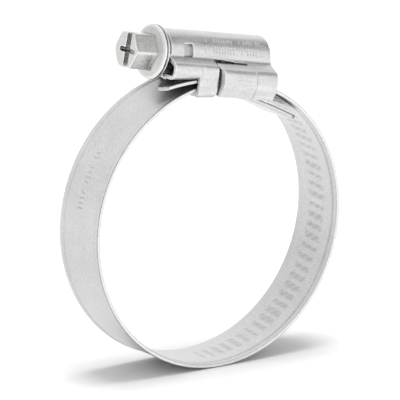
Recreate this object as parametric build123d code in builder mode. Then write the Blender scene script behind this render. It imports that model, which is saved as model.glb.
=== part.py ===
from build123d import *
from math import atan2, cos, degrees, hypot, pi, radians, sin
import os

# Worm-drive hose clamp: one slotted steel band, one pressed housing, one screw.
# Millimetres. The origin is the centre of the hose that the band goes round.
# +Y is the hose's axis, +Z points from the hose to the housing, and the screw
# lies along X with its head towards -X.
# The band is one strip of spring steel on the real clamp. It is cut here into
# spans that turn on living hinges, so that it can bend as the screw draws it in.

os.makedirs("parts", exist_ok=True)

# ---------------------------------------------------------------- driving sizes
hose_r = 25.5            # radius of the hose seat, nearly fully open
band_t = 0.85            # band thickness
band_w = 12.2            # band width
pitch = 2.0              # thread pitch, and the step of the grooves in the band

screw_z = 29.5           # height of the screw's axis
thread_r = 3.4           # crest radius of the worm thread
core_r = 2.7             # root radius of the worm thread
head_af = 6.35           # hexagon across flats
flange_r = 5.05          # radius of the washer flange

sheet_t = 0.8            # housing sheet thickness
tunnel_r = 4.45          # outer radius of the half tunnel over the screw

# The threaded end slides along an arc that is tangent to the hose seat's circle.
slide_x = -2.6           # centre of that arc
slide_z = -13.5

groove_w = 1.06          # width of one thread groove in the band
groove_l = 4.6           # length of one groove across the band
groove_depth = 0.6
grooves_to_tail = 4      # grooves between the screw's middle and the tail
grooves_round_ring = 40  # grooves between the screw's middle and the band's bottom

hinge_gap = 0.02         # angle in degrees left open at each living hinge

# ---------------------------------------------------------------- derived sizes
ring_r = hose_r + band_t
slide_r = ring_r + hypot(slide_x, slide_z)
join_angle = degrees(atan2(-slide_z, -slide_x))
groove_step = pitch * slide_r / (slide_r - 0.25)
lead_angle = degrees(atan2(pitch, 2 * pi * (thread_r - 0.3)))


def groove_place(index):
    """Angle and arc centre of a groove, counted from the screw's middle."""
    arc = index * groove_step
    join_arc = radians(90 - join_angle) * slide_r
    if arc <= join_arc:
        return 90 - degrees(arc / slide_r), True
    return join_angle - degrees((arc - join_arc) / ring_r), False


# The two hinges in the grooved half lie on the land between two grooves.
hinge_left = 160
hinge_low_left = 225
hinge_low_right = 360 + groove_place(38.5)[0]
hinge_right = 360 + groove_place(24.5)[0]


def arc_strip(centre, radius, start, end):
    """Face of a band section: outer radius, band thickness, between two angles."""
    with BuildLine() as outline:
        outer = CenterArc(centre, radius, start, end - start)
        inner = CenterArc(centre, radius - band_t, start, end - start)
        Line(outer @ 0, inner @ 0)
        Line(outer @ 1, inner @ 1)
    make_face(outline.edges())


def cut_grooves(first, last):
    """Thread grooves across the outer face of the open part."""
    for index in range(first, last + 1):
        angle, on_slide = groove_place(index)
        radius = slide_r if on_slide else ring_r
        centre_x = slide_x if on_slide else 0
        centre_z = slide_z if on_slide else 0
        out = Vector(cos(radians(angle)), 0, sin(radians(angle)))
        spot = Vector(centre_x, 0, centre_z) + out * radius
        across = Vector(sin(radians(lead_angle)), 0, 0)
        along = Vector(sin(radians(angle)), 0, -cos(radians(angle)))
        slot_line = Vector(0, cos(radians(lead_angle)), 0) + along * across.X
        with BuildSketch(Plane(origin=spot, x_dir=slot_line, z_dir=out)) as groove:
            SlotOverall(groove_l, groove_w)
        extrude(groove.sketch, amount=-groove_depth, mode=Mode.SUBTRACT)


# ---------------------------------------------------------------- band: fixed end
# It leaves the circle left of the housing, bends down inside it and runs on
# as a tongue under the place where the threaded end comes in.
leave_angle = 110.5
bend_r = 8.0
tongue_r = 115.0
tongue_start = 81.0
tongue_hinge = 75.5
tongue_end = 69.0
bend_x = (ring_r - bend_r) * cos(radians(leave_angle))
bend_z = (ring_r - bend_r) * sin(radians(leave_angle))
tongue_x = bend_x + (bend_r - tongue_r) * cos(radians(tongue_start))
tongue_z = bend_z + (bend_r - tongue_r) * sin(radians(tongue_start))

with BuildPart() as band_fixed_end:
    with BuildSketch(Plane.XZ):
        arc_strip((0, 0), ring_r, leave_angle, hinge_left - hinge_gap)
        arc_strip((bend_x, bend_z), bend_r, tongue_start, leave_angle)
        arc_strip((tongue_x, tongue_z), tongue_r, tongue_hinge + hinge_gap, tongue_start)
    extrude(amount=band_w / 2, both=True)

tip_near_x = 13.2        # the strip was cut a little out of square
tip_far_x = 13.8

with BuildPart() as band_tongue:
    with BuildSketch(Plane.XZ):
        arc_strip((tongue_x, tongue_z), tongue_r, tongue_end, tongue_hinge)
    extrude(amount=band_w / 2, both=True)
    with BuildSketch(Plane.XY.offset(hose_r / 2)):
        with BuildLine():
            Polyline((tip_near_x, -band_w), (tip_near_x, -band_w / 2), (tip_far_x, band_w / 2),
                     (tip_far_x, band_w), (hose_r, band_w), (hose_r, -band_w), close=True)
        make_face()
    extrude(amount=hose_r, mode=Mode.SUBTRACT)
    tip_corners = band_tongue.edges().filter_by(Axis.Z).sort_by(Axis.X)[-2:]
    fillet(tip_corners, 1.2)

# ---------------------------------------------------------------- band: lower spans
lower_spans = [
    ("band_left_span", hinge_left, hinge_low_left),
    ("band_bottom_span", hinge_low_left, hinge_low_right),
    ("band_right_span", hinge_low_right, hinge_right),
]
span_grooves = {"band_bottom_span": (39, grooves_round_ring), "band_right_span": (25, 38)}
spans = []
for span_name, span_start, span_end in lower_spans:
    with BuildPart() as span:
        with BuildSketch(Plane.XZ):
            arc_strip((0, 0), ring_r, span_start, span_end - hinge_gap)
        extrude(amount=band_w / 2, both=True)
        if span_name in span_grooves:
            cut_grooves(*span_grooves[span_name])
    span.part.label = span_name
    spans.append(span.part)

# ---------------------------------------------------------------- band: threaded end
tail_angle = 112.0
tail_outline = [(-16.2, -band_w / 2), (-16.8, -3.7), (-12.6, -0.6), (-11.2, band_w / 2)]

with BuildPart() as band_threaded_end:
    with BuildSketch(Plane.XZ):
        arc_strip((0, 0), ring_r, hinge_right - 360, join_angle)
        arc_strip((slide_x, slide_z), slide_r, join_angle, tail_angle)
    extrude(amount=band_w / 2, both=True)
    with BuildSketch(Plane.XY.offset(hose_r / 2)):
        with BuildLine():
            Polyline(*tail_outline, (-hose_r, band_w / 2), (-hose_r, -band_w / 2), close=True)
        make_face()
    extrude(amount=hose_r, mode=Mode.SUBTRACT)
    tail_nose = band_threaded_end.edges().filter_by(Axis.Z).sort_by(Axis.X)[:2]
    fillet(tail_nose, 0.7)
    cut_grooves(-grooves_to_tail, 24)

# ---------------------------------------------------------------- screw
# Head, washer flange, plain neck with a groove for the housing's stake, worm.
head_tip_x = -22.2
cone_front_x = -17.7     # the flange's front is a shallow cone
cone_rear_x = -17.0
flange_rear_x = -15.95
collar_r = 3.58
neck_r = 2.75
neck_left_x = -12.75
neck_right_x = -10.3
worm_start_x = -9.6
worm_end_x = 5.6
slot_w = 1.45
slot_y = -0.45           # the slots were cut off centre
cross_w = 0.85
cross_l = 4.8
slot_depth = 1.5
worm_line_x = slide_x - 3.5 * pitch    # so that a crest lies in the groove at slide_x
worm_l = 14.8
worm_crest_w = 0.5
worm_root_w = 1.1
worm_sink = 0.15         # how far the thread's root reaches into the core


def from_axis(points):
    """Points given as (x, radius), placed above the screw's axis."""
    return [(x, screw_z + radius) for x, radius in points]


with BuildPart() as screw:
    with BuildSketch(Plane.XZ):
        with BuildLine():
            Polyline(*from_axis([
                (cone_front_x, 0), (cone_front_x, head_af / 2), (cone_rear_x, flange_r - 0.3),
                (cone_rear_x + 0.15, flange_r - 0.05), (cone_rear_x + 0.35, flange_r - 0.05),
                (cone_rear_x + 0.55, flange_r - 0.2), (cone_rear_x + 0.75, flange_r),
                (flange_rear_x - 0.15, flange_r), (flange_rear_x, flange_r - 0.15),
                (flange_rear_x, collar_r), (neck_left_x, collar_r), (neck_left_x, neck_r),
                (neck_right_x, neck_r), (neck_right_x, core_r + 0.35), (worm_start_x, core_r),
                (worm_end_x, core_r), (worm_end_x + 0.7, core_r - 0.9), (worm_end_x + 0.7, 0)]), close=True)
        make_face()
    revolve(axis=Axis((0, 0, screw_z), (1, 0, 0)))
    head_end = Plane(origin=(head_tip_x, 0, screw_z), x_dir=(0, 1, 0), z_dir=(-1, 0, 0))
    with BuildSketch(head_end) as hexagon:
        RegularPolygon(radius=head_af / 2, side_count=6, major_radius=False, rotation=2)
        fillet(hexagon.vertices(), 0.45)
    extrude(amount=head_tip_x - cone_rear_x)
    chamfer_plane = Plane(origin=(head_tip_x, 0, screw_z), x_dir=(0, 1, 0), z_dir=(1, 0, 0))
    with BuildSketch(chamfer_plane):
        Circle(head_af)
        Circle(head_af / 2 + 0.05, mode=Mode.SUBTRACT)
    extrude(amount=3, taper=60, mode=Mode.SUBTRACT)
    with BuildSketch(head_end):
        with Locations((slot_y, 0)):
            Rectangle(slot_w, head_af + 2)
    extrude(amount=-slot_depth, mode=Mode.SUBTRACT)
    with BuildSketch(head_end):
        with Locations((slot_y, 0)):
            SlotOverall(cross_l, cross_w)
    extrude(amount=-slot_depth, mode=Mode.SUBTRACT)
    with BuildLine():
        worm_line = Helix(pitch, worm_l, core_r, center=(worm_line_x, 0, screw_z), direction=(1, 0, 0))
    worm_out = (worm_line @ 0) - Vector(worm_line_x, 0, screw_z)
    with BuildSketch(Plane(origin=worm_line @ 0, x_dir=worm_out, z_dir=worm_line % 0)):
        with BuildLine():
            Polyline((-worm_sink, -worm_root_w / 2), (thread_r - core_r, -worm_crest_w / 2),
                     (thread_r - core_r, worm_crest_w / 2), (-worm_sink, worm_root_w / 2), close=True)
        make_face()
    sweep(path=worm_line, is_frenet=True)

# ---------------------------------------------------------------- housing
# Pressed from one sheet: a half tunnel over the worm, and side walls bent down
# from it. The walls are in four stretches. The first carries lips over the tail,
# the second curls under the fixed end, and the last two hang outside the band.
cover_left_x = -15.3
cover_right_x = 6.6
slit_left_x = -6.1
slit_right_x = -5.75
shear_right_x = 1.4
stake_left_x = -12.5
stake_right_x = -10.5
stake_start = 3          # degrees above the horizontal, on the near side
stake_arc = 31
stake_drop = 0.5         # how far the flap's sheared end lies below the tunnel's face


def side_wall(start_x, end_x, start_points, end_points, bends):
    """A stretch of side wall, given by its outer face at both ends."""
    sections = []
    for x, points in ((start_x, start_points), (end_x, end_points)):
        with BuildSketch(Plane.YZ.offset(x)) as section:
            with BuildLine():
                FilletPolyline((-tunnel_r, screw_z + 0.4), (-tunnel_r, screw_z + 0.05), *points, radius=bends)
                offset(amount=sheet_t, side=Side.LEFT)
            make_face()
        sections.append(section.sketch)
    loft(sections)


# Each row: where the stretch starts and ends, then its shoulder, foot and toe at
# its start, the same at its end, and the radii of its bends.
lip_bends = [0.45, 1.3, 1.4]
hanging_bends = [0.45, 1.7, 2.6]
wall_rows = [
    (-15.7, -9.95, [(-7.05, 28.6), (-7.2, 25.5), (-3.2, 25.55)],
     [(-7.05, 28.6), (-7.2, 26.0), (-3.2, 26.05)], lip_bends),
    (-9.95, -9.3, [(-6.9, 28.6), (-7.05, 22.72), (-4.2, 22.77)],
     [(-7.05, 28.6), (-7.3, 22.65), (-4.2, 22.7)], lip_bends),
    (-9.3, slit_left_x, [(-7.05, 28.6), (-7.3, 22.65), (-4.2, 22.7)],
     [(-7.05, 28.6), (-7.3, 22.9), (-4.2, 22.95)], lip_bends),
    (slit_right_x, -5.1, [(-7.3, 27.95), (-7.65, 25.6), (-6.95, 23.3)],
     [(-7.65, 28.05), (-8.05, 25.6), (-7.15, 23.2)], hanging_bends),
    (-5.1, 1.7, [(-7.65, 28.05), (-8.05, 25.6), (-7.15, 23.2)],
     [(-7.65, 28.05), (-8.05, 25.6), (-7.15, 23.2)], hanging_bends),
    (1.7, 2.1, [(-7.65, 28.05), (-8.05, 25.6), (-7.15, 23.2)],
     [(-7.35, 28.1), (-7.75, 25.4), (-6.75, 23.1)], hanging_bends),
    (2.1, 6.7, [(-7.35, 28.1), (-7.75, 25.4), (-6.75, 23.1)],
     [(-7.35, 28.1), (-7.75, 25.4), (-6.75, 23.1)], hanging_bends),
]

with BuildPart() as housing:
    with BuildSketch(Plane.YZ.offset(cover_left_x)):
        with Locations((0, screw_z)):
            Circle(tunnel_r)
            Circle(tunnel_r - sheet_t, mode=Mode.SUBTRACT)
            Rectangle(3 * tunnel_r, tunnel_r + 1, align=(Align.CENTER, Align.MAX), mode=Mode.SUBTRACT)
    extrude(amount=cover_right_x - cover_left_x)
    for row in wall_rows:
        side_wall(*row)
    # A narrow shear cut frees the bulged stretch from the tunnel.
    with BuildSketch(Plane.XZ):
        with BuildLine():
            Polyline((slit_left_x - 0.5, screw_z + 0.2), (slit_right_x, screw_z - 0.35),
                     (shear_right_x, screw_z - 0.3), close=True)
        make_face()
    extrude(amount=2 * tunnel_r, mode=Mode.SUBTRACT)
    mirror(about=Plane.XZ)
    # The stake: a flap of the tunnel, sheared at its right and pressed into the
    # screw's neck groove, which keeps the screw from moving along its axis.
    stake_plane = Plane(origin=(0, 0, screw_z), x_dir=(1, 0, 0),
                        z_dir=(0, -sin(radians(stake_start)), -cos(radians(stake_start))))
    stake_axis = Axis((0, 0, screw_z), (-1, 0, 0))
    with BuildSketch(stake_plane):
        with Locations(((stake_left_x + stake_right_x) / 2, tunnel_r)):
            Rectangle(stake_right_x - stake_left_x, 3 * sheet_t)
    revolve(axis=stake_axis, revolution_arc=stake_arc, mode=Mode.SUBTRACT)
    with BuildSketch(stake_plane):
        with BuildLine():
            Polyline((stake_left_x - 0.1, tunnel_r - 0.02), (stake_right_x - 0.12, tunnel_r - stake_drop),
                     (stake_right_x - 0.12, neck_r + 0.15), (stake_left_x + 0.1, tunnel_r - sheet_t - 0.15),
                     (stake_left_x - 0.1, tunnel_r - sheet_t + 0.02), close=True)
        make_face()
    revolve(axis=stake_axis, revolution_arc=stake_arc)

# ---------------------------------------------------------------- output
band_fixed_end.part.label = "band_fixed_end"
band_tongue.part.label = "band_tongue"
band_threaded_end.part.label = "band_threaded_end"
screw.part.label = "screw"
housing.part.label = "housing"
whole_parts = [band_fixed_end.part, band_tongue.part, band_threaded_end.part, screw.part, housing.part]
for piece in whole_parts + spans:
    export_step(piece, "parts/" + piece.label + ".step")
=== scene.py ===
import bpy
import numpy as np
from math import atan2, cos, degrees, floor, hypot, pi, radians, sin
from mathutils import Matrix, Vector


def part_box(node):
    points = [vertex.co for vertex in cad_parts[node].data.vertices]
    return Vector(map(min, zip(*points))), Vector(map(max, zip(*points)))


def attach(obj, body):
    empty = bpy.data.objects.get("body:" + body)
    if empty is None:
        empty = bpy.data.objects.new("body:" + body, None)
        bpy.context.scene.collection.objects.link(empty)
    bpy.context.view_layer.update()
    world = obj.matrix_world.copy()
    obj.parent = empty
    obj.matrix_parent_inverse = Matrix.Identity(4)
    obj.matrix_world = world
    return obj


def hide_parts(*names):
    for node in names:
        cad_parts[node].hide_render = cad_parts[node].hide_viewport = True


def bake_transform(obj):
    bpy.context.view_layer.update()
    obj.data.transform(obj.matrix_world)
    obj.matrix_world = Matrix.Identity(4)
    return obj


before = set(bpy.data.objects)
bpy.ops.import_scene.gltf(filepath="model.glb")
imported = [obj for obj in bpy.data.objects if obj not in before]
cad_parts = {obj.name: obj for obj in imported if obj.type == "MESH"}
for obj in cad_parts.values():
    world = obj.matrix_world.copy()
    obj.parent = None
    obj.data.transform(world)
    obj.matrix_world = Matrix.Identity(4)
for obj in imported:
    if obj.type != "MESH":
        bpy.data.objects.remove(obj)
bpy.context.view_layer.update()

MM = 0.001

# ---------------------------------------------------------------- sizes, in metres
RING_R = -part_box("band_left_span")[0].x          # outer radius of the loop
HALF_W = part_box("band_left_span")[1].y           # half the band's width
BAND_T = 0.85 * MM
SCREW_Z = (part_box("screw")[0].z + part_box("screw")[1].z) / 2
TUNNEL_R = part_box("housing")[1].z - SCREW_Z      # outer radius of the half tunnel
PITCH = 2.0 * MM
THREAD_MID_R = 3.1 * MM                          # about halfway up the worm's thread
PITCH_DEPTH = 0.25 * MM                          # the grooves are one pitch apart this far down

SLIDE_X = -2.6 * MM                              # centre of the threaded end's arc
SLIDE_Z = -13.5 * MM
SLIDE_R = RING_R + hypot(SLIDE_X, SLIDE_Z)
JOIN = degrees(atan2(-SLIDE_Z, -SLIDE_X))        # angle where that arc joins the loop
TO_JOIN = radians(90 - JOIN) * SLIDE_R           # length of the arc from its top to the join
TAIL_END = 112.0                                 # angle where the tail's arc ends, before it is cut

# Thread grooves, counted from the one under the middle of the screw.
GROOVE_STEP = PITCH * SLIDE_R / (SLIDE_R - PITCH_DEPTH)
GROOVE_LEAN = sin(atan2(PITCH, 2 * pi * THREAD_MID_R))
GROOVE_L = 4.6 * MM
GROOVE_W = 1.0 * MM
GROOVE_DEPTH = 0.55 * MM
GROOVE_SOFT_L = 0.45 * MM                        # width of the slope at a groove's ends
GROOVE_SOFT_W = 0.30 * MM                        # and at its sides
LAST_GROOVE = 40                                 # towards the bottom of the loop
TAIL_GROOVES = 4                                 # towards the tail
# Inside the loop each groove shows as a soft patch of painted shade, with uneven edges and slanted strokes
# in it.
PATCH_DEPTH = 0.05 * MM
PATCH_HALF_W = 0.50 * MM
PATCH_RAGGED = 0.35 * MM
PATCH_SOFT_W = 0.35 * MM
PATCH_STEP = 1.9 * MM

# The fixed end leaves the loop, bends down and runs on as the tongue.
LEAVE = 110.5
BEND_R = 8.0 * MM
TONGUE_R = 115.0 * MM
TONGUE_START = 81.0
TONGUE_SEAM = 78.0
TONGUE_HINGE = 75.5
TONGUE_END = 69.0                                # before it is cut
TONGUE_REACH = 1.2                               # degrees each side of its hinge, where the stretch around it starts and ends
TONGUE_CORNER = 1.2 * MM                         # radius of the corners of its tip
BEND_AT = ((RING_R - BEND_R) * cos(radians(LEAVE)), (RING_R - BEND_R) * sin(radians(LEAVE)))
TONGUE_AT = (BEND_AT[0] + (BEND_R - TONGUE_R) * cos(radians(TONGUE_START)),
             BEND_AT[1] + (BEND_R - TONGUE_R) * sin(radians(TONGUE_START)))
TONGUE_TIP_X = (13.2 * MM, 13.8 * MM)            # at its near and far edge
# The tail's outline: x, at shares of the half width from the near edge (-1) to the far one (1).
TAIL_X = [(-1.0, -16.2 * MM), (-3.7 / 6.1, -16.8 * MM), (-0.6 / 6.1, -12.6 * MM), (1.0, -11.2 * MM)]
TAIL_CORNER = 0.6 * MM                           # rounding of the tail's near corner
# The band bends at four hinges, and its pieces meet at the seams between them (degrees on the loop).
HINGES = [160.0, 225.0, 287.2, 348.5]
SEAMS = [192.5, 255.0, 317.5]
REACH = 26                                       # degrees each side of a hinge, where the stretch around it starts and ends

# Features of the housing and the screw that carry painted shade and painted highlights. Heights are from
# the screw's axis.
STAKE_X = (-12.6 * MM, -10.6 * MM)
STAKE_H = 2.4 * MM
SLIT_X = (-6.2 * MM, -5.65 * MM)                 # the gap between the tab and the bulge
SLIT_H = (-1.5 * MM, 0.1 * MM)
SHEAR_X = (-6.2 * MM, 1.0 * MM)                  # the shear cut above the bulge
SHEAR_H = -0.29 * MM
CUT_FACE_X = (-5.95 * MM, -5.2 * MM)             # the bulge's sheared end
FLANGE_X = (-17.9 * MM, -16.9 * MM)              # the cone on the flange's front
RIM_R = 4.45 * MM                                # the flange's rim lies outside this radius
RIM_GROOVE_X = -16.45 * MM
SLOT_R = 2.95 * MM                               # inside this, the head shows its slots, not its sides
WALL_Y = -4.2 * MM                               # the near side wall lies beyond this
WALL_BEND_H = 0.2 * MM                           # the bend between the tunnel and the wall
# Rows of strokes stamped on the tunnel: degrees above the horizontal, row height, step and seed.
STROKE_ROWS = ((23, 1.25 * MM, 0.62 * MM, 1), (47, 1.1 * MM, 0.55 * MM, 2))
STROKE_X = (-9.0 * MM, 4.6 * MM)
STROKE_DEPTH = 0.10 * MM

# How strong the painted shade and highlights are. The painted highlights brighten; the rest are painted
# shade and darken.
TUNNEL_STROKE_SHADE = 1.1
BAND_STROKE_SHADE = 1.2
PATCH_SHADE = 1.1
CREASE_SHADE = 0.7
SLIT_SHADE = 3.0
SHEAR_SHADE = 5.0
SHEAR_HIGHLIGHT = 1.6
CUT_FACE_SHADE = 3.2
STAKE_SHADE = 0.9
SLOT_SHADE = 0.3
FACET_HIGHLIGHT = 0.5
RIM_GROOVE_SHADE = 2.6
RIM_HIGHLIGHT = 1.2
CONE_SHADE = 0.5

# ---------------------------------------------------------------- camera and stage
AZIMUTH = radians(-36)
ELEVATION = radians(7.84)
ROLL = radians(9.24)
DISTANCE = 1.325
TARGET = Vector((-0.78, 0, 3.29)) * MM
LENS = 663.0
LEAN = radians(11.09)      # the clamp stands leaning by this much from its own Z
FLOOR_TONE = 0.66          # bright enough to look white under the sun and the tent together
FLOOR_SIZE = 6.0
FLOOR_GAP = 0.05 * MM      # between the loop and the floor
SUN_STRENGTH = 2.7
SUN_SPREAD = radians(32)


def make_camera():
    """The photograph's view: a long lens, rolled so that the clamp leans."""
    forward = Vector((-sin(AZIMUTH) * cos(ELEVATION), cos(AZIMUTH) * cos(ELEVATION), -sin(ELEVATION)))
    level = Vector((cos(AZIMUTH), sin(AZIMUTH), 0))
    upright = level.cross(forward)
    right = level * cos(ROLL) + upright * sin(ROLL)
    up = upright * cos(ROLL) - level * sin(ROLL)
    camera = bpy.data.objects.new("camera", bpy.data.cameras.new("camera"))
    camera.data.lens = LENS
    camera.data.sensor_width = 36
    camera.data.clip_start = 0.01
    camera.data.clip_end = 20
    turn = Matrix((right, up, -forward)).transposed().to_4x4()
    camera.matrix_world = Matrix.Translation(TARGET - forward * DISTANCE) @ turn
    bpy.context.scene.collection.objects.link(camera)
    bpy.context.scene.camera = camera


def mesh_object(name, verts, faces, soft=True):
    """A new mesh object in the scene, shaded smooth if soft."""
    mesh = bpy.data.meshes.new(name)
    mesh.from_pydata([tuple(v) for v in verts], [], faces)
    mesh.update()
    mesh.polygons.foreach_set("use_smooth", [soft] * len(mesh.polygons))
    thing = bpy.data.objects.new(name, mesh)
    bpy.context.scene.collection.objects.link(thing)
    return thing


def make_floor():
    """A pale floor that touches the loop where the leaning clamp stands."""
    normal = Vector((-sin(LEAN), 0, cos(LEAN)))
    along = Vector((cos(LEAN), 0, sin(LEAN)))
    spot = -normal * (RING_R + FLOOR_GAP)
    signs = ((-1, -1), (1, -1), (1, 1), (-1, 1))
    corners = [spot + along * (FLOOR_SIZE * a) + Vector((0, FLOOR_SIZE * b, 0)) for a, b in signs]
    ground = mesh_object("floor", corners, [(0, 1, 2, 3)], soft=False)
    material = bpy.data.materials.new("floor_white")
    material.use_nodes = True
    shader = material.node_tree.nodes["Principled BSDF"]
    shader.inputs["Base Color"].default_value = (FLOOR_TONE, FLOOR_TONE, FLOOR_TONE, 1)
    shader.inputs["Roughness"].default_value = 0.8
    shader.inputs["Specular IOR Level"].default_value = 0.1
    ground.data.materials.append(material)


# ---------------------------------------------------------------- shader nodes
class Nodes:
    """Short ways to add nodes to a tree and join them."""

    def __init__(self, tree):
        self.tree = tree

    def add(self, kind, **settings):
        node = self.tree.nodes.new(kind)
        for key, value in settings.items():
            setattr(node, key, value)
        return node

    def feed(self, socket, value):
        if isinstance(value, (int, float, tuple)):
            socket.default_value = value
        else:
            self.tree.links.new(value, socket)

    def maths(self, operation, *values):
        node = self.add("ShaderNodeMath", operation=operation)
        for socket, value in zip(node.inputs, values):
            self.feed(socket, value)
        return node.outputs["Value"]

    def spread(self, value, from_low, from_high, to_low, to_high):
        """Eases from to_low to to_high while the value goes from from_low to from_high."""
        node = self.add("ShaderNodeMapRange", interpolation_type="SMOOTHSTEP")
        for socket, number in zip(node.inputs, (value, from_low, from_high, to_low, to_high)):
            self.feed(socket, number)
        return node.outputs["Result"]

    def noise(self, place, scale, detail=2.0):
        node = self.add("ShaderNodeTexNoise")
        self.feed(node.inputs["Vector"], place)
        self.feed(node.inputs["Scale"], scale)
        self.feed(node.inputs["Detail"], detail)
        return node.outputs["Fac"]

    def toward(self, vector, direction):
        """How nearly a unit vector points in a direction, from -1 to 1."""
        node = self.add("ShaderNodeVectorMath", operation="DOT_PRODUCT")
        self.feed(node.inputs[0], vector)
        self.feed(node.inputs[1], direction)
        return node.outputs["Value"]


# The tent's parts: direction, cosines over which each fades in, and brightness outside and inside it.
# The light is the wall's and the corner's together, times the gap's.
DIM_GAP = ((0.59, -0.18, 0.79), 0.87, 1.0, 1.0, 0.36)
FRONT_WALL = ((0.0, -1.0, 0.0), 0.3, 1.0, 1.0, 1.22)
BACK_CORNER = ((0.59, 0.80, 0.1), 0.6, 1.0, 0.0, 0.15)


def make_world():
    """A bright tent with a dim gap above and to the right, brighter in front and behind on the right."""
    world = bpy.data.worlds.new("studio")
    bpy.context.scene.world = world
    world.use_nodes = True
    n = Nodes(world.node_tree)
    ray = n.add("ShaderNodeTexCoord").outputs["Generated"]
    gap, front, corner = [n.spread(n.toward(ray, direction), *fade)
                          for direction, *fade in (DIM_GAP, FRONT_WALL, BACK_CORNER)]
    backdrop = world.node_tree.nodes["Background"]
    backdrop.inputs["Color"].default_value = (1, 1, 1, 1)
    n.feed(backdrop.inputs["Strength"], n.maths("MULTIPLY", gap, n.maths("ADD", front, corner)))


def make_lights():
    """The tent, and a broad light straight above the floor that gives the contact shadow."""
    make_world()
    data = bpy.data.lights.new("overhead", "SUN")
    data.energy = SUN_STRENGTH
    data.angle = SUN_SPREAD
    light = bpy.data.objects.new("overhead", data)
    light.rotation_euler = (0, -LEAN, 0)
    light.visible_glossy = False
    bpy.context.scene.collection.objects.link(light)


# ---------------------------------------------------------------- materials
# Scales of the noises: about this many features in a metre.
CLOUD = 260
SPECK = 3600
LINES = 1400
PITS = 2600
FADE = (0.3, 0.7)          # the stretch of a noise that is used
CLOUD_TONE = 0.025
CLOUD_ROUGH = 0.04
SPECK_ROUGH = 0.05
DRAW_STRETCH = 0.10        # place along X is scaled by this, so that drawing lines run along X
MARK_STRENGTH = 0.2        # share of the tone that a mark of 1 takes away
DARKEST = 0.04
PIT_STRENGTH = 0.3
PIT_DEPTH = 0.03 * MM


def zinc(name, tone, rough, grain=1.0, speckle=0.05, warm=0.0, drawn=0.0):
    """Satin zinc plate, cloudy and finely speckled. Marks above 0 darken it with painted shade, and below 0
    brighten it with painted highlight.
    """
    material = bpy.data.materials.new(name)
    material.use_nodes = True
    n = Nodes(material.node_tree)
    shader = material.node_tree.nodes["Principled BSDF"]
    shader.inputs["Metallic"].default_value = 1.0
    place = n.add("ShaderNodeAttribute", attribute_name="rest").outputs["Vector"]
    mark = n.add("ShaderNodeAttribute", attribute_name="mark").outputs["Fac"]
    cloud = n.noise(place, CLOUD, 4)
    speck = n.noise(place, SPECK, 2)
    shade = n.maths("ADD", n.spread(cloud, *FADE, tone - CLOUD_TONE, tone + CLOUD_TONE),
                    n.spread(speck, *FADE, -speckle, speckle))
    if drawn:
        stretched = n.add("ShaderNodeVectorMath", operation="MULTIPLY")
        n.feed(stretched.inputs[0], place)
        n.feed(stretched.inputs[1], (DRAW_STRETCH, 1.0, 1.0))
        lines = n.noise(stretched.outputs["Vector"], LINES, 2)
        shade = n.maths("ADD", shade, n.spread(lines, *FADE, -drawn, drawn))
    shade = n.maths("MULTIPLY", shade, n.maths("SUBTRACT", 1.0, n.maths("MULTIPLY", mark, MARK_STRENGTH)))
    shade = n.maths("MAXIMUM", shade, DARKEST)
    colour = n.add("ShaderNodeCombineColor")
    n.feed(colour.inputs["Red"], shade)
    n.feed(colour.inputs["Green"], n.maths("MULTIPLY", shade, 1.0 - 0.3 * warm))
    n.feed(colour.inputs["Blue"], n.maths("MULTIPLY", shade, 1.0 - warm))
    n.feed(shader.inputs["Base Color"], colour.outputs["Color"])
    rougher = n.maths("ADD", n.spread(cloud, *FADE, rough - CLOUD_ROUGH, rough + CLOUD_ROUGH),
                      n.spread(speck, *FADE, -SPECK_ROUGH, SPECK_ROUGH))
    n.feed(shader.inputs["Roughness"], rougher)
    pits = n.add("ShaderNodeBump")
    n.feed(pits.inputs["Strength"], PIT_STRENGTH * grain)
    n.feed(pits.inputs["Distance"], PIT_DEPTH)
    n.feed(pits.inputs["Height"], n.noise(place, PITS, 3))
    n.feed(shader.inputs["Normal"], pits.outputs["Normal"])
    return material


# ---------------------------------------------------------------- shared shapes
def smooth(x):
    """Smooth step from 0 to 1."""
    x = min(max(x, 0.0), 1.0)
    return x * x * (3 - 2 * x)


def chance(number):
    """A random-looking share from 0 to 1 for each number."""
    wave = sin(number * 12.9898) * 43758.5453
    return wave - floor(wave)


def peak(off, reach):
    """1 at no distance off, easing to 0 at reach."""
    return smooth(1 - abs(off) / reach)


def stroke(along, across, step, start, end, seed):
    """How deep a row of short strokes is stamped, from 0 to 1. across is -0.5 to 0.5 over the row."""
    if not (start < along < end and abs(across) < 0.5):
        return 0.0
    cell = floor(along / step)
    left_out = chance(cell + seed) < 0.2
    if left_out:
        return 0.0
    slant = 0.7 * (chance(cell + seed + 31.7) - 0.5)
    off = along / step - cell - 0.5 + slant * across
    return smooth((0.20 - abs(off)) / 0.10) * smooth((0.5 - abs(across)) / 0.12)


def path_length(arcs):
    """Length of a list of arcs, each (centre, radius, start angle, end angle)."""
    return sum(radians(abs(end - start)) * radius for _, radius, start, end in arcs)


def along_path(arcs, s):
    """Point on the outer face, and outward normal, at distance s along a list of arcs."""
    for arc in arcs:
        centre, radius, start, end = arc
        length = radians(abs(end - start)) * radius
        if s <= length or arc is arcs[-1]:
            turn = radians(start) + (s / radius) * (1 if end > start else -1)
            out = Vector((cos(turn), 0, sin(turn)))
            return Vector((centre[0], 0, centre[1])) + out * radius, out
        s -= length


def ring_arc(start, end):
    """An arc of the loop's outer face."""
    return ((0.0, 0.0), RING_R, start, end)


# ---------------------------------------------------------------- band
FINE = 0.15 * MM        # steps along the band, where it is grooved or stamped
COARSE = 0.3 * MM       # and where it is plain
ROLL_FROM = 1.35 * MM   # the edges roll outward, from this far inside them
ROLL_TO = 0.75 * MM
ROLL_H = 0.17 * MM      # and rise by this much
EDGE_R = 0.18 * MM      # rounding of the edge's corners
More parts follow.
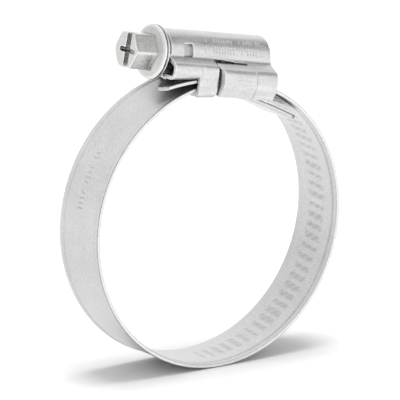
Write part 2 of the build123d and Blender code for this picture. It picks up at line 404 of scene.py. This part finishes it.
# Angles round the edge's corner, each with its mark: painted highlight on the cut edge, painted shade
# beside it.
EDGE_HIGHLIGHT_AND_SHADE = ((90, -0.7), (67.5, 0.6), (45, 2.3), (22.5, 2.9))
INNER_EDGE_SHADE = 0.8   # the darkest painted shade of them inside the loop
MIDDLE_W = 1.5 * MM     # half of the stretch across the middle, stamped row included, with closer points


def rise(y):
    """Share of the rolled edge's height at a place across the band."""
    return smooth((ROLL_FROM - (HALF_W - abs(y))) / (ROLL_FROM - ROLL_TO))


def crease(y):
    """Painted shade along the foot of the rolled edge."""
    return CREASE_SHADE * peak(HALF_W - abs(y) - ROLL_FROM + 0.15 * MM, 0.2 * MM)


def section():
    """The band's outline in two halves, each from edge to edge, as (across, depth, side, mark)."""
    flat_w = HALF_W - EDGE_R
    inner = HALF_W - ROLL_FROM
    steps = [MIDDLE_W * i / 10 for i in range(11)]
    steps += [MIDDLE_W + (inner - MIDDLE_W) * i / 9 for i in range(1, 10)]
    steps += [inner + (flat_w - inner) * i / 10 for i in range(1, 11)]
    flat = [-y for y in reversed(steps[1:])] + steps
    corner = [(radians(a), mark) for a, mark in EDGE_HIGHLIGHT_AND_SHADE]
    edge = [(flat_w + EDGE_R * sin(a), EDGE_R * (1 - cos(a)), mark) for a, mark in corner]
    top = [(-y, depth, 0, mark) for y, depth, mark in edge]
    top += [(y, ROLL_H * (1 - rise(y)), 1, crease(y)) for y in flat]
    top += [(y, depth, 0, mark) for y, depth, mark in reversed(edge)]
    inner_edge = [(y, BAND_T - ROLL_H - depth, 0, min(mark, INNER_EDGE_SHADE)) for y, depth, mark in edge]
    low = [(-y, *rest) for y, *rest in inner_edge]
    low += [(y, BAND_T - ROLL_H * rise(y), -1, crease(y)) for y in flat]
    low += inner_edge[::-1]
    return top, low


def groove_share(s, y, origin):
    """How deep the thread groove is at a point, from 0 to 1, and how strong its patch of painted shade
    inside the loop is.
    """
    place = (s - y * GROOVE_LEAN - origin) / GROOVE_STEP
    index = round(place)
    if index < -LAST_GROOVE or index > TAIL_GROOVES:
        return 0.0, 0.0
    off = (place - index) * GROOVE_STEP
    across = smooth((GROOVE_L / 2 - abs(y)) / GROOVE_SOFT_L + 0.5)
    depth = across * smooth((GROOVE_W / 2 - abs(off)) / GROOVE_SOFT_W + 0.5)
    ragged = PATCH_RAGGED * (chance(index + 4.0) - 0.5)
    patch = across * smooth((PATCH_HALF_W + ragged - abs(off)) / PATCH_SOFT_W + 0.5)
    strokes = 0.72 + 0.28 * cos(2 * pi * (y + 1.2 * off) / PATCH_STEP + 6.0 * chance(index))
    return depth, patch * strokes


# Painted shade on the loop: mark, angle on the loop and reach, in degrees.
SHADE_OUTSIDE = (0.8, 205, 50)
SHADE_INSIDE = ((0.75, 4, 75), (0.4, -115, 60))


def angle_shade(point, side):
    """Painted shade: darker outside on the lower left, and inside on the right and at the bottom."""
    angle = degrees(atan2(point.z, point.x))
    if side > 0:
        mark, middle, reach = SHADE_OUTSIDE
        return mark * peak(angle % 360 - middle, reach)
    return sum(mark * peak(angle - middle, reach) for mark, middle, reach in SHADE_INSIDE)


# Painted shade in the corner under the housing.
SHADE_Z = 15 * MM              # nothing below this is in it
SHADE_X = (-16.8 * MM, -8.0 * MM)
SHADE_FADE = 6.5 * MM          # the band under the tail darkens over this length
TONGUE_TOP_X = 2 * MM         # right of this, what lies inside the loop's circle is the tongue
TONGUE_SHADE = 2.4
TAIL_SHADE = 1.9
BAND_SHADE = 1.8


def shaded(point, side, depth):
    """Painted shade in the corner under the housing: on the tail, on the band below it and on top of the
    tongue.
    """
    radius = hypot(point.x, point.z)
    if point.z < SHADE_Z or side < 0 or depth > EDGE_R:
        return 0.0
    on_tongue = point.x > TONGUE_TOP_X and radius < RING_R - 0.1 * MM
    if on_tongue:
        return TONGUE_SHADE
    if side == 0 or point.x > SHADE_X[1]:
        return 0.0
    on_tail = radius >= RING_R + 0.2 * MM
    return TAIL_SHADE if on_tail else BAND_SHADE * smooth((point.x - SHADE_X[0]) / SHADE_FADE)


# The row of strokes stamped on the band.
ROW_Y = 0.6 * MM
ROW_H = 1.5 * MM
ROW_STEP = 0.95 * MM
ROW_SPAN = (0.4 * MM, 11.2 * MM)      # from the loop's left, upwards along it
ROW_SEED = 3


def stamped(point, y):
    """Strokes on the outside of the loop's left side, a little beyond the band's middle."""
    along = atan2(point.z, -point.x) * RING_R
    return stroke(along, (y - ROW_Y) / ROW_H, ROW_STEP, *ROW_SPAN, ROW_SEED)


def make_strip(name, arcs, s_step, end_cut=None, origin=None, stamp=False):
    """A stretch of band along arcs. end_cut(y) is where it ends, and origin is where groove 0 lies."""
    total = path_length(arcs)
    count = max(2, round(total / s_step))
    top, low = section()
    half = len(top)
    ring = 2 * half
    verts, marks = [], []
    for i in range(count + 1):
        for y, depth, side, mark in top + low[::-1]:
            s = (end_cut(y) if end_cut else total) * i / count
            point, out = along_path(arcs, s)
            if origin is not None and side:
                sunk, shown = groove_share(s, y, origin)
                depth += sunk * GROOVE_DEPTH if side > 0 else shown * PATCH_DEPTH
                # painted shade on the groove's patch inside the loop
                mark += 0.0 if side > 0 else PATCH_SHADE * shown
            # painted shade in the corner under the housing, and painted shade by angle on the loop
            mark += shaded(point, side, depth) + (angle_shade(point, side) if side else 0.0)
            # strokes pressed into the outside, with painted shade in them
            if stamp and side > 0:
                pressed = stamped(point, y)
                depth += STROKE_DEPTH * pressed
                mark += BAND_STROKE_SHADE * pressed
            verts.append(point - out * depth + Vector((0, y, 0)))
            marks.append(mark)
    last = count * ring
    faces = []
    for i in range(count):
        for j in range(ring):
            k = (j + 1) % ring
            faces.append((i * ring + k, i * ring + j, (i + 1) * ring + j, (i + 1) * ring + k))
    for j in range(half - 1):
        faces.append((j, j + 1, ring - 2 - j, ring - 1 - j))
        faces.append((last + j + 1, last + j, last + ring - 1 - j, last + ring - 2 - j))
    strip = mesh_object(name, verts, faces)
    border = {tuple(sorted((base + j, base + (j + 1) % ring))) for base in (0, last) for j in range(ring)}
    for edge in strip.data.edges:
        edge.use_edge_sharp = tuple(sorted(edge.vertices)) in border
    add_marks(strip.data, [c for v in verts for c in v], marks)
    return strip


def add_marks(mesh, rest, marks):
    """Stores each vertex's place before any bending, and its mark: painted shade above 0, painted highlight
    below 0.
    """
    mesh.attributes.new("rest", "FLOAT_VECTOR", "POINT").data.foreach_set("vector", rest)
    mesh.attributes.new("mark", "FLOAT", "POINT").data.foreach_set("value", marks)


def reach_x(arcs, x, low, high):
    """Distance along the arcs at which they reach x, between two distances."""
    rising = along_path(arcs, high)[0].x > along_path(arcs, low)[0].x
    for _ in range(40):
        middle = (low + high) / 2
        if (along_path(arcs, middle)[0].x < x) == rising:
            low = middle
        else:
            high = middle
    return (low + high) / 2


def tail_cut(arcs, total):
    """The threaded end's tail: blunt on the near side, and cut back on a slant behind."""
    def cut(y):
        share = y / HALF_W
        for (share_a, x_a), (share_b, x_b) in zip(TAIL_X, TAIL_X[1:]):
            if share <= share_b or (share_b, x_b) == TAIL_X[-1]:
                x = x_a + (x_b - x_a) * (share - share_a) / (share_b - share_a)
                break
        corner = max(0.0, TAIL_CORNER - (HALF_W + y)) ** 2 / (2 * TAIL_CORNER)
        return reach_x(arcs, x + corner, total * 0.5, total)
    return cut


def tongue_cut(arcs, total):
    """The tongue's tip: cut nearly square, with rounded corners."""
    near, far = TONGUE_TIP_X

    def cut(y):
        x = near + (far - near) * (y + HALF_W) / (2 * HALF_W)
        inside = TONGUE_CORNER - (HALF_W - abs(y))
        rounding = TONGUE_CORNER - (TONGUE_CORNER ** 2 - inside ** 2) ** 0.5 if inside > 0 else 0.0
        return reach_x(arcs, x - rounding, 0.0, total)
    return cut


def groove_origin(start):
    """Where groove 0 lies along a piece that starts at this angle on the loop."""
    return radians(360 + JOIN - start) * RING_R + TO_JOIN


def make_band(material):
    """The band, in pieces that meet in the middle of the spans."""
    fixed = [(TONGUE_AT, TONGUE_R, TONGUE_SEAM, TONGUE_START), (BEND_AT, BEND_R, TONGUE_START, LEAVE),
             ring_arc(LEAVE, SEAMS[0])]
    threaded = [ring_arc(SEAMS[2], 360 + JOIN), ((SLIDE_X, SLIDE_Z), SLIDE_R, JOIN, TAIL_END)]
    tongue_arc = [(TONGUE_AT, TONGUE_R, TONGUE_SEAM, TONGUE_END)]
    left = make_strip("band_left", fixed, FINE, stamp=True)
    low_left = make_strip("band_low_left", [ring_arc(SEAMS[0], SEAMS[1])], COARSE)
    low_right = make_strip("band_low_right", [ring_arc(SEAMS[1], SEAMS[2])], FINE,
                           origin=groove_origin(SEAMS[1]))
    right = make_strip("band_right", threaded, FINE, origin=groove_origin(SEAMS[2]),
                       end_cut=tail_cut(threaded, path_length(threaded)))
    tongue = make_strip("band_tongue_strip", tongue_arc, COARSE,
                        end_cut=tongue_cut(tongue_arc, path_length(tongue_arc)))
    chain = ["clamp_base", "band_left_span", "band_bottom_span", "band_right_span", "band_threaded_end"]
    shown = [["band_fixed_end"], ["band_left_span"], ["band_bottom_span", "band_right_span"],
             ["band_threaded_end"]]
    pieces = [left, low_left, low_right, right]
    for piece, body_a, body_b, hinge, nodes in zip(pieces, chain, chain[1:], HINGES, shown):
        start, _ = along_path([ring_arc(hinge - REACH, hinge)], 0)
        end, _ = along_path([ring_arc(hinge + REACH, hinge + REACH + 1)], 0)
        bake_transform(piece)
        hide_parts(*nodes)
    start, _ = along_path([(TONGUE_AT, TONGUE_R, TONGUE_HINGE + TONGUE_REACH, TONGUE_HINGE)], 0)
    end, _ = along_path([(TONGUE_AT, TONGUE_R, TONGUE_HINGE - TONGUE_REACH, TONGUE_HINGE)], 0)
    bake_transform(tongue)
    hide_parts("band_tongue")
    for piece in (left, low_left, low_right, right, tongue):
        piece.data.materials.append(material)


# ---------------------------------------------------------------- housing and screw
def corner_curvature(mesh, step):
    """How sharply the mesh curves at each vertex: above 0 on outer corners, below 0 in inner ones."""
    count = len(mesh.vertices)
    place = np.empty(count * 3, np.float32)
    normal = np.empty(count * 3, np.float32)
    ends = np.empty(len(mesh.edges) * 2, np.int32)
    mesh.vertices.foreach_get("co", place)
    mesh.vertices.foreach_get("normal", normal)
    mesh.edges.foreach_get("vertices", ends)
    place, normal, ends = place.reshape(-1, 3), normal.reshape(-1, 3), ends.reshape(-1, 2)
    along = place[ends[:, 0]] - place[ends[:, 1]]
    along /= np.maximum(np.linalg.norm(along, axis=1), 1e-9)[:, None]
    links = np.bincount(ends.ravel(), minlength=count)
    curve = np.bincount(ends[:, 0], (normal[ends[:, 0]] * along).sum(1), count)
    curve -= np.bincount(ends[:, 1], (normal[ends[:, 1]] * along).sum(1), count)
    curve /= np.maximum(links, 1)
    for _ in range(2):
        shared = np.bincount(ends[:, 0], curve[ends[:, 1]], count)
        shared += np.bincount(ends[:, 1], curve[ends[:, 0]], count)
        curve = 0.5 * curve + 0.5 * shared / np.maximum(links, 1)
    return place, normal, np.clip(curve * 0.6 * MM / step, -1, 1)


def housing_marks(place, normal, marks, sunk):
    """Painted shade on the near side's stamped strokes, bend line and stake, and in the shears' gaps and on
    the cut face, with a painted highlight on the shear's rim; the strokes are also pressed in.
    """
    for i, (x, y, z) in enumerate(place):
        height = z - SCREW_Z
        if y < -2.0 * MM and height > 0.3 * MM and hypot(y, height) > TUNNEL_R - 0.15 * MM:
            turn = atan2(height, -y)
            for centre, row_h, step, seed in STROKE_ROWS:
                lift = (turn - radians(centre)) * TUNNEL_R / row_h
                pressed = stroke(x, lift, step, *STROKE_X, seed)
                # pressed in, with painted shade in the strokes
                sunk[i] += STROKE_DEPTH * pressed
                marks[i] += TUNNEL_STROKE_SHADE * pressed
        if y < WALL_Y:
            # painted shade along the bend between the tunnel and the wall
            marks[i] += peak(height - WALL_BEND_H, 0.22 * MM)
            # painted shade in the slit
            if SLIT_X[0] < x < SLIT_X[1] and SLIT_H[0] < height < SLIT_H[1]:
                marks[i] += SLIT_SHADE
            # painted shade in the shear cut, and a painted highlight on its rim
            if SHEAR_X[0] < x < SHEAR_X[1]:
                marks[i] += SHEAR_SHADE * peak(height - SHEAR_H, 0.25 * MM)
                marks[i] -= SHEAR_HIGHLIGHT * peak(height, 0.16 * MM)
            # painted shade on the cut face, darkest where it faces -X
            if CUT_FACE_X[0] < x < CUT_FACE_X[1] and height < -1.2 * MM:
                marks[i] += CUT_FACE_SHADE * smooth((-normal[i][0] - 0.25) / 0.4)
        # painted shade on the stake
        if y < 0 and STAKE_X[0] < x < STAKE_X[1] and 0 < height < STAKE_H:
            marks[i] += STAKE_SHADE


def screw_marks(place, normal, marks, sunk):
    """Painted shade on the slots, flange cone and rim groove, and painted highlights on the hexagon's sides
    and the rim's front.
    """
    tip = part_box("screw")[0].x
    for i, (x, y, z) in enumerate(place):
        radius = hypot(y, z - SCREW_Z)
        if x < FLANGE_X[0]:
            inside = smooth((SLOT_R - radius) / (0.25 * MM)) * smooth((x - tip - 0.1 * MM) / (0.4 * MM))
            facet = smooth((radius - SLOT_R) / (0.2 * MM)) * smooth((x - tip - 0.5 * MM) / (0.4 * MM))
            # painted shade in the slots, painted highlight on the hexagon's sides
            marks[i] += SLOT_SHADE * inside - FACET_HIGHLIGHT * facet
        elif radius > RIM_R:
            # painted shade in the rim's groove, painted highlight on its front
            marks[i] += RIM_GROOVE_SHADE * peak(x - RIM_GROOVE_X, 0.22 * MM)
            marks[i] -= RIM_HIGHLIGHT * peak(x - RIM_GROOVE_X + 0.45 * MM, 0.35 * MM)
        elif x < FLANGE_X[1]:
            # painted shade on the cone
            marks[i] += CONE_SHADE


WEAR_AND_HIGHLIGHT = 1.5                 # how much outer corners brighten, with wear and painted highlight
INNER_CORNER_SHADE = 3.2                 # how much inner corners darken, with painted shade


def softened(node, name, body, voxel, rounds, material, add):
    """A copy of a CAD node with its sharp edges rounded off, with wear and painted highlight on its outer
    corners, painted shade in its inner ones, and the marks of add() painted on.
    """
    raw = bpy.data.objects.new(name + "_raw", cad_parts[node].data.copy())
    bpy.context.scene.collection.objects.link(raw)
    remesh = raw.modifiers.new("remesh", "REMESH")
    remesh.mode = "VOXEL"
    remesh.voxel_size = voxel
    even = raw.modifiers.new("even", "SMOOTH")
    even.factor = 0.5
    even.iterations = rounds
    mesh = bpy.data.meshes.new_from_object(raw.evaluated_get(bpy.context.evaluated_depsgraph_get()))
    bpy.data.objects.remove(raw)
    mesh.name = name
    place, normal, curve = corner_curvature(mesh, voxel)
    # wear and painted highlight on outer corners, painted shade in inner ones
    marks = np.where(curve > 0, -WEAR_AND_HIGHLIGHT * curve, -INNER_CORNER_SHADE * curve)
    sunk = np.zeros(len(marks))
    add(place.tolist(), normal.tolist(), marks, sunk)
    mesh.vertices.foreach_set("co", (place - normal * sunk[:, None]).astype(np.float32).ravel())
    mesh.update()
    add_marks(mesh, place.ravel(), marks)
    mesh.polygons.foreach_set("use_smooth", [True] * len(mesh.polygons))
    mesh.materials.clear()
    mesh.materials.append(material)
    piece = bpy.data.objects.new(name, mesh)
    bpy.context.scene.collection.objects.link(piece)
    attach(piece, body)
    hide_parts(node)


bpy.context.scene.view_settings.view_transform = "Standard"
make_camera()
make_floor()
make_lights()
make_band(zinc("band_zinc", 0.66, 0.36, speckle=0.07))
softened("housing", "housing_sheet", "clamp_base", voxel=0.10 * MM, rounds=12,
         material=zinc("housing_zinc", 0.65, 0.36, grain=1.2, speckle=0.06, drawn=0.04),
         add=housing_marks)
softened("screw", "worm_screw", "screw", voxel=0.09 * MM, rounds=2,
         material=zinc("screw_zinc", 0.61, 0.28, grain=0.25, speckle=0.03, warm=0.02),
         add=screw_marks)
